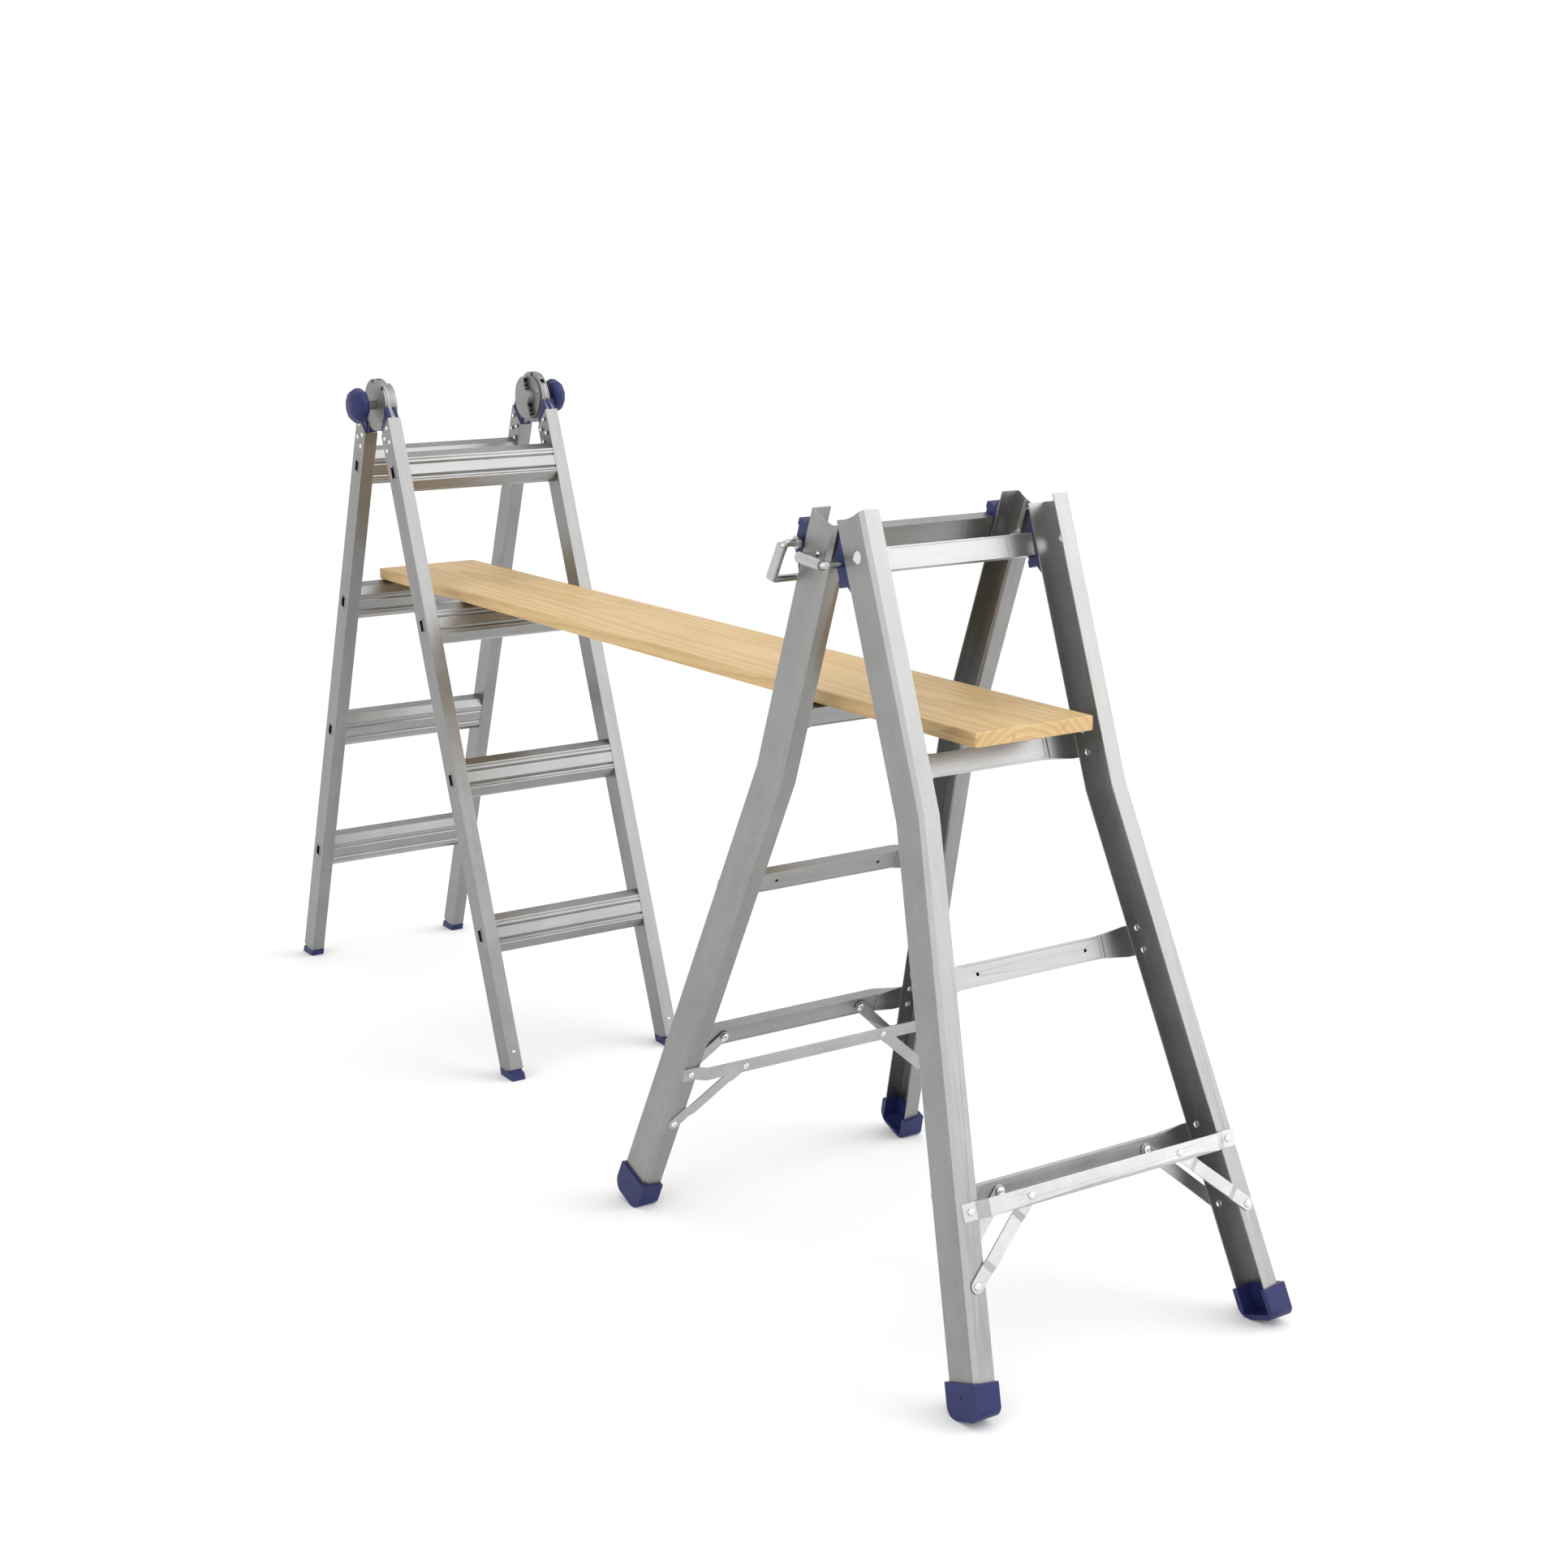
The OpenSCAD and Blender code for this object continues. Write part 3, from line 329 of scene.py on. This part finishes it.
def pine(name):
    """Sawn pine: growth rings of a tilted log, pores along the grain, resin flecks, rubbed edges."""
    m = Shader(name)
    place = m.add("ShaderNodeTexCoord").outputs["Object"]
    board = m.add("ShaderNodeMapping")
    m.join(place, board.inputs["Vector"])
    low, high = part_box("plank")
    middle = (low + high) / 2
    board.inputs["Location"].default_value = -(middle + PITH)
    board.inputs["Rotation"].default_value = (0.0, 0.012, 0.020)
    swirl_space = m.add("ShaderNodeVectorMath", operation="MULTIPLY")
    m.join(board.outputs[0], swirl_space.inputs[0])
    swirl_space.inputs[1].default_value = (1.6, 9, 9)
    swirl = m.add("ShaderNodeTexNoise")
    m.join(swirl_space.outputs[0], swirl.inputs["Vector"])
    swirl.inputs["Scale"].default_value = 1.0
    swirl.inputs["Detail"].default_value = 3
    push = m.add("ShaderNodeVectorMath", operation="MULTIPLY_ADD")
    m.join(swirl.outputs["Color"], push.inputs[0])
    push.inputs[1].default_value = (0.0, 0.030, 0.030)
    m.join(board.outputs[0], push.inputs[2])
    rings = m.add("ShaderNodeTexWave", wave_type="RINGS", rings_direction="X", wave_profile="SAW")
    m.join(push.outputs[0], rings.inputs["Vector"])
    rings.inputs["Scale"].default_value = 26
    rings.inputs["Distortion"].default_value = 0.6
    rings.inputs["Detail"].default_value = 2
    rings.inputs["Detail Scale"].default_value = 1.2
    late = m.band(rings.outputs["Fac"], 0.35, 0.98)
    fibre = m.noise(m.space(0.0, (0.03, 1, 1)), 700, detail=3, roughness=0.6)
    stain = m.noise(m.space(0.0, (0.35, 1, 1)), 7, detail=4, roughness=0.55)
    early_wood = m.mix(m.band(stain, 0.3, 0.7), (0.50, 0.345, 0.158), (0.575, 0.410, 0.205))
    wood = m.mix(m.math("MULTIPLY", late, 0.46), early_wood, (0.37, 0.215, 0.080))
    wood = m.mix(m.band(fibre, 0.45, 0.8, 0.0, 0.38), wood, (0.37, 0.22, 0.09))
    flecks = m.noise(m.space(0.0, (0.12, 1, 1)), 38, detail=2)
    wood = m.mix(m.band(flecks, 0.68, 0.76, 0.0, 0.60), wood, (0.26, 0.12, 0.04))
    edge = m.math("MULTIPLY", m.edges(0.003), m.band(m.noise(m.space(), 60, detail=4), 0.4, 0.65))
    m.set(base_color=m.mix(m.math("MULTIPLY", edge, 0.35), wood, (0.80, 0.62, 0.38)))
    m.set(roughness=m.band(fibre, 0.3, 0.7, 0.48, 0.62))
    m.set(specular_ior_level=0.35)
    height = m.math("ADD", m.math("MULTIPLY", late, 0.6), fibre)
    m.bump(height, 0.22, 0.0005)
    return m.material


def floor_paint():
    m = Shader("floor_paint")
    cloud = m.noise(m.space(), 1.5, detail=3)
    m.set(base_color=m.mix(m.band(cloud, 0.2, 0.8), (0.81, 0.81, 0.806), (0.835, 0.835, 0.831)))
    m.set(roughness=0.85, specular_ior_level=0.1)
    return m.material


def make_floor():
    half = 30
    mesh = bpy.data.meshes.new("floor")
    corners = [(-half, -half, 0), (half, -half, 0), (half, half, 0), (-half, half, 0)]
    mesh.from_pydata(corners, [], [(0, 1, 2, 3)])
    mesh.materials.append(floor_paint())
    floor = bpy.data.objects.new("floor", mesh)
    bpy.context.scene.collection.objects.link(floor)


# painted shade: the inner sections' rails and rungs are darker copies of the outer sections' aluminium
SHADED_INNER_ALUMINIUM = (0.255, 0.255, 0.253)
OUTER_ALUMINIUM = (0.285, 0.285, 0.282)
ALONG_Y = (1, 0.02, 1)

RAIL = {s: metal(f"aluminium_{s}", SHADED_INNER_ALUMINIUM if s.startswith("inner") else OUTER_ALUMINIUM, 0.36, turn,
                 ribs=rib_middle(s)) for s, turn in UPRIGHT.items()}
# painted shade: the inner rungs are a darker copy of the outer rungs
INNER_RUNG = metal("aluminium_inner_rung", (0.285, 0.285, 0.283), 0.33, along=ALONG_Y, mottle=0.10)
OUTER_RUNG = metal("aluminium_outer_rung", (0.310, 0.310, 0.308), 0.33, along=ALONG_Y, mottle=0.08)
STRAP = metal("aluminium_strap", (0.43, 0.43, 0.427), 0.38, along=(1, 0.15, 0.6), mottle=0.12)
HINGE = metal("hinge_steel", (0.265, 0.263, 0.258), 0.46, along=(1, 1, 1), mottle=0.18, streak=0.02)
BRIGHT = metal("bright_steel", (0.46, 0.465, 0.47), 0.20, along=(1, 1, 1), mottle=0.06, streak=0.02, edge_wear_and_highlight=0.2)
RIVET = metal("rivet", (0.72, 0.72, 0.72), 0.24, along=(1, 1, 1), mottle=0.06, streak=0.02, edge_wear_and_highlight=0.3)
BLUE = plastic("blue_plastic", (0.013, 0.017, 0.086))
PINE = pine("pine")


def section_of(node):
    return next((s for s in UPRIGHT if node.startswith(s)), None)


def material_for(node):
    if node.endswith("rivets"):
        return RIVET
    if "rail" in node:
        return RAIL[section_of(node)]
    if "rung" in node:
        return INNER_RUNG if node.startswith("inner") else OUTER_RUNG
    if "brace" in node or "struts" in node:
        return STRAP
    if node == "plank":
        return PINE
    if SLOTS[node] == "blue_plastic":
        return BLUE
    return BRIGHT if "lever" in node or "collar" in node else HINGE


ROUNDING = {"plank": 1.0, "aluminium": 0.5, "aluminium_rung": 0.4, "blue_plastic": 0.8, "hinge_steel": 0.35}


def dress_node(node, obj):
    """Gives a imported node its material, and rounds its sharp edges."""
    obj.data.materials.clear()
    obj.data.materials.append(material_for(node))
    width = ROUNDING.get(SLOTS[node])
    if width is None or "spring" in node:
        return
    weld = obj.modifiers.new("weld", "WELD")
    weld.merge_threshold = 0.00001
    bevel = obj.modifiers.new("round", "BEVEL")
    bevel.width = width * MM
    bevel.segments = 2
    bevel.limit_method = "ANGLE"
    bevel.angle_limit = math.radians(32)


# ---------- building pieces ----------


def finish_piece(name, bm, material, body, smooth=math.radians(35)):
    """Turns a bmesh in the row frame into a piece that rides on a body."""
    bmesh.ops.remove_doubles(bm, verts=bm.verts, dist=1e-6)
    bmesh.ops.recalc_face_normals(bm, faces=bm.faces)
    mesh = bpy.data.meshes.new(name)
    bm.to_mesh(mesh)
    bm.free()
    for face in mesh.polygons:
        face.use_smooth = True
    mesh.set_sharp_from_angle(angle=smooth)
    mesh.materials.append(material)
    piece = bpy.data.objects.new(name, mesh)
    bpy.context.scene.collection.objects.link(piece)
    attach(piece, body)
    return piece


def lathe(bm, outline, place, steps=32, turn=0.0):
    """Revolves an outline of (radius, height) about the Z axis of place. A radius of 0 closes it."""
    rings = []
    for radius, height in outline:
        if radius < 1e-9:
            rings.append([bm.verts.new(place @ Vector((0, 0, height)))])
            continue
        angles = [turn + 2 * math.pi * i / steps for i in range(steps)]
        ring = [Vector((radius * math.cos(a), radius * math.sin(a), height)) for a in angles]
        rings.append([bm.verts.new(place @ point) for point in ring])
    for lower, upper in zip(rings, rings[1:]):
        for i in range(steps):
            corners = [lower[i % len(lower)], lower[(i + 1) % len(lower)], upper[(i + 1) % len(upper)],
                       upper[i % len(upper)]]
            corners = list(dict.fromkeys(corners))
            if len(corners) > 2:
                bm.faces.new(corners)


def axis_frame(origin, direction):
    """A matrix at origin whose Z axis is direction."""
    return Matrix.Translation(origin) @ Vector(direction).to_track_quat("Z", "Y").to_matrix().to_4x4()


def islands(obj):
    """The points of each separate solid in a node's mesh."""
    bm = bmesh.new()
    bm.from_mesh(obj.data)
    bmesh.ops.remove_doubles(bm, verts=bm.verts, dist=1e-5)
    left = set(bm.verts)
    found = []
    while left:
        stack = [left.pop()]
        group = []
        while stack:
            vert = stack.pop()
            group.append(vert.co.copy())
            for edge in vert.link_edges:
                other = edge.other_vert(vert)
                if other in left:
                    left.discard(other)
                    stack.append(other)
        found.append(group)
    bm.free()
    return found


# ---------- blind rivets ----------

HEAD_HEIGHT = 3.0 * MM
HEAD_FOOT = 0.6 * MM       # of a head, sunk in what it holds
LONG_RIVET = 6 * MM        # a longer one shows its tail on the far side
TAIL_HEIGHT = 1.9 * MM


def dome(radius, height, foot):
    """Outline of a blind rivet's head: a dome with a rolled rim and a pit that holds the broken mandrel."""
    pit = 0.30 * radius
    arc = [math.radians(a) for a in range(12, 73, 12)]
    rise = [(radius * math.cos(a), height * math.sin(a)) for a in arc]
    rise = [(r, h) for r, h in rise if r > pit * 1.25]
    rim = [(radius * 0.97, foot), (radius, 0.10 * height)]
    hollow = [(pit * 1.15, height * 0.97), (pit, height * 0.90), (pit * 0.92, height * 0.62)]
    mandrel = [(pit * 0.62, height * 0.60), (pit * 0.50, height * 0.78), (0, height * 0.80)]
    return rim + rise + hollow + mandrel


def reach_across(points, middle, axis):
    """The furthest that a point lies from the line through middle along axis."""
    return max(((p - middle) - (p - middle).dot(axis) * axis).length for p in points)


def make_rivets(section):
    """Stands for the section's rivets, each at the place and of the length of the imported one."""
    node = f"{section}_rivets"
    turn = Matrix.Rotation(-UPRIGHT[section], 3, "Y")
    out = turn @ Vector((1, 0, 0))
    bm = bmesh.new()
    for points in islands(NODES[node]):
        middle = sum(points, Vector()) / len(points)
        along = [(p - middle).dot(out) for p in points]
        low, high, radius = min(along), max(along), reach_across(points, middle, out)
        head = axis_frame(middle + out * (high - HEAD_HEIGHT), out)
        lathe(bm, dome(radius, HEAD_HEIGHT, -HEAD_FOOT), head)
        if high - low > LONG_RIVET:
            tail = [(radius * 0.82, -HEAD_FOOT), (radius * 0.80, 0.6 * MM), (radius * 0.6, 1.5 * MM),
                    (0, TAIL_HEIGHT)]
            lathe(bm, tail, axis_frame(middle + out * (low + TAIL_HEIGHT), -out))
    piece = finish_piece(f"{section}_rivet_heads", bm, RIVET, section)
    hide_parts(node)


RAIL_MIDDLE_Y = 172 * MM   # of the inner rails
FLAT_RIVET = 4 * MM        # a rivet this short along Y has its axis along Y


def make_inner_rivets(section):
    """Stands for the rivets of an inner section: each head looks away from the wall it sits on."""
    node = f"{section}_rivets"
    front = 1 if section == "inner_front" else -1
    out_x = Matrix.Rotation(-UPRIGHT[section], 3, "Y") @ Vector((front, 0, 0))
    bm = bmesh.new()
    for points in islands(NODES[node]):
        middle = sum(points, Vector()) / len(points)
        reach_y = max(p.y for p in points) - min(p.y for p in points)
        if reach_y < FLAT_RIVET:
            away = 1 if abs(middle.y) > RAIL_MIDDLE_Y else -1
            out = Vector((0, math.copysign(away, middle.y), 0))
        else:
            out = out_x
        along = [(p - middle).dot(out) for p in points]
        radius = reach_across(points, middle, out)
        low, high = min(along), max(along)
        lathe(bm, dome(radius, high - low - 0.1 * MM, -0.4 * MM), axis_frame(middle + out * low, out))
    piece = finish_piece(f"{section}_rivet_heads", bm, RIVET, section)
    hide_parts(node)


# ---------- hinge knobs ----------

KNOB_SIDES = 10
KNOB_CREASE = math.radians(18)
# (radius, height) in millimetres
KNOB_OUTLINE = ((0.0, 0.3), (24.5, 0.3), (30.5, 0.8), (34.2, 6.0), (34.9, 11.0), (34.4, 16.5), (32.0, 22.0),
                (26.5, 27.5), (16.0, 31.4), (0.0, 32.9))


def make_knob(side):
    """A moulded hand knob: a ten-sided dome whose corners are rounded over."""
    node = f"lock_knob_{side}"
    low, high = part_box(node)
    out = Vector((0, SIDES[side], 0))
    middle = (low + high) / 2
    base = Vector((middle.x, low.y if side == "right" else high.y, middle.z))
    bm = bmesh.new()
    outline = [(r * MM, h * MM) for r, h in KNOB_OUTLINE]
    lathe(bm, outline, axis_frame(base, out), steps=KNOB_SIDES, turn=math.radians(18))
    piece = finish_piece(f"knob_shell_{side}", bm, BLUE, f"lock_knob_{side}", KNOB_CREASE)
    corner = piece.modifiers.new("soft_corners", "BEVEL")
    corner.width = 1.1 * MM
    corner.segments = 2
    corner.limit_method = "ANGLE"
    corner.angle_limit = math.radians(12)
    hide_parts(node)


make_camera()
make_light()
make_floor()
for node_name, node_object in NODES.items():
    dress_node(node_name, node_object)
for name in ("outer_back", "outer_front"):
    make_rivets(name)
for name in ("inner_back", "inner_front"):
    make_inner_rivets(name)
for name in SIDES:
    make_knob(name)
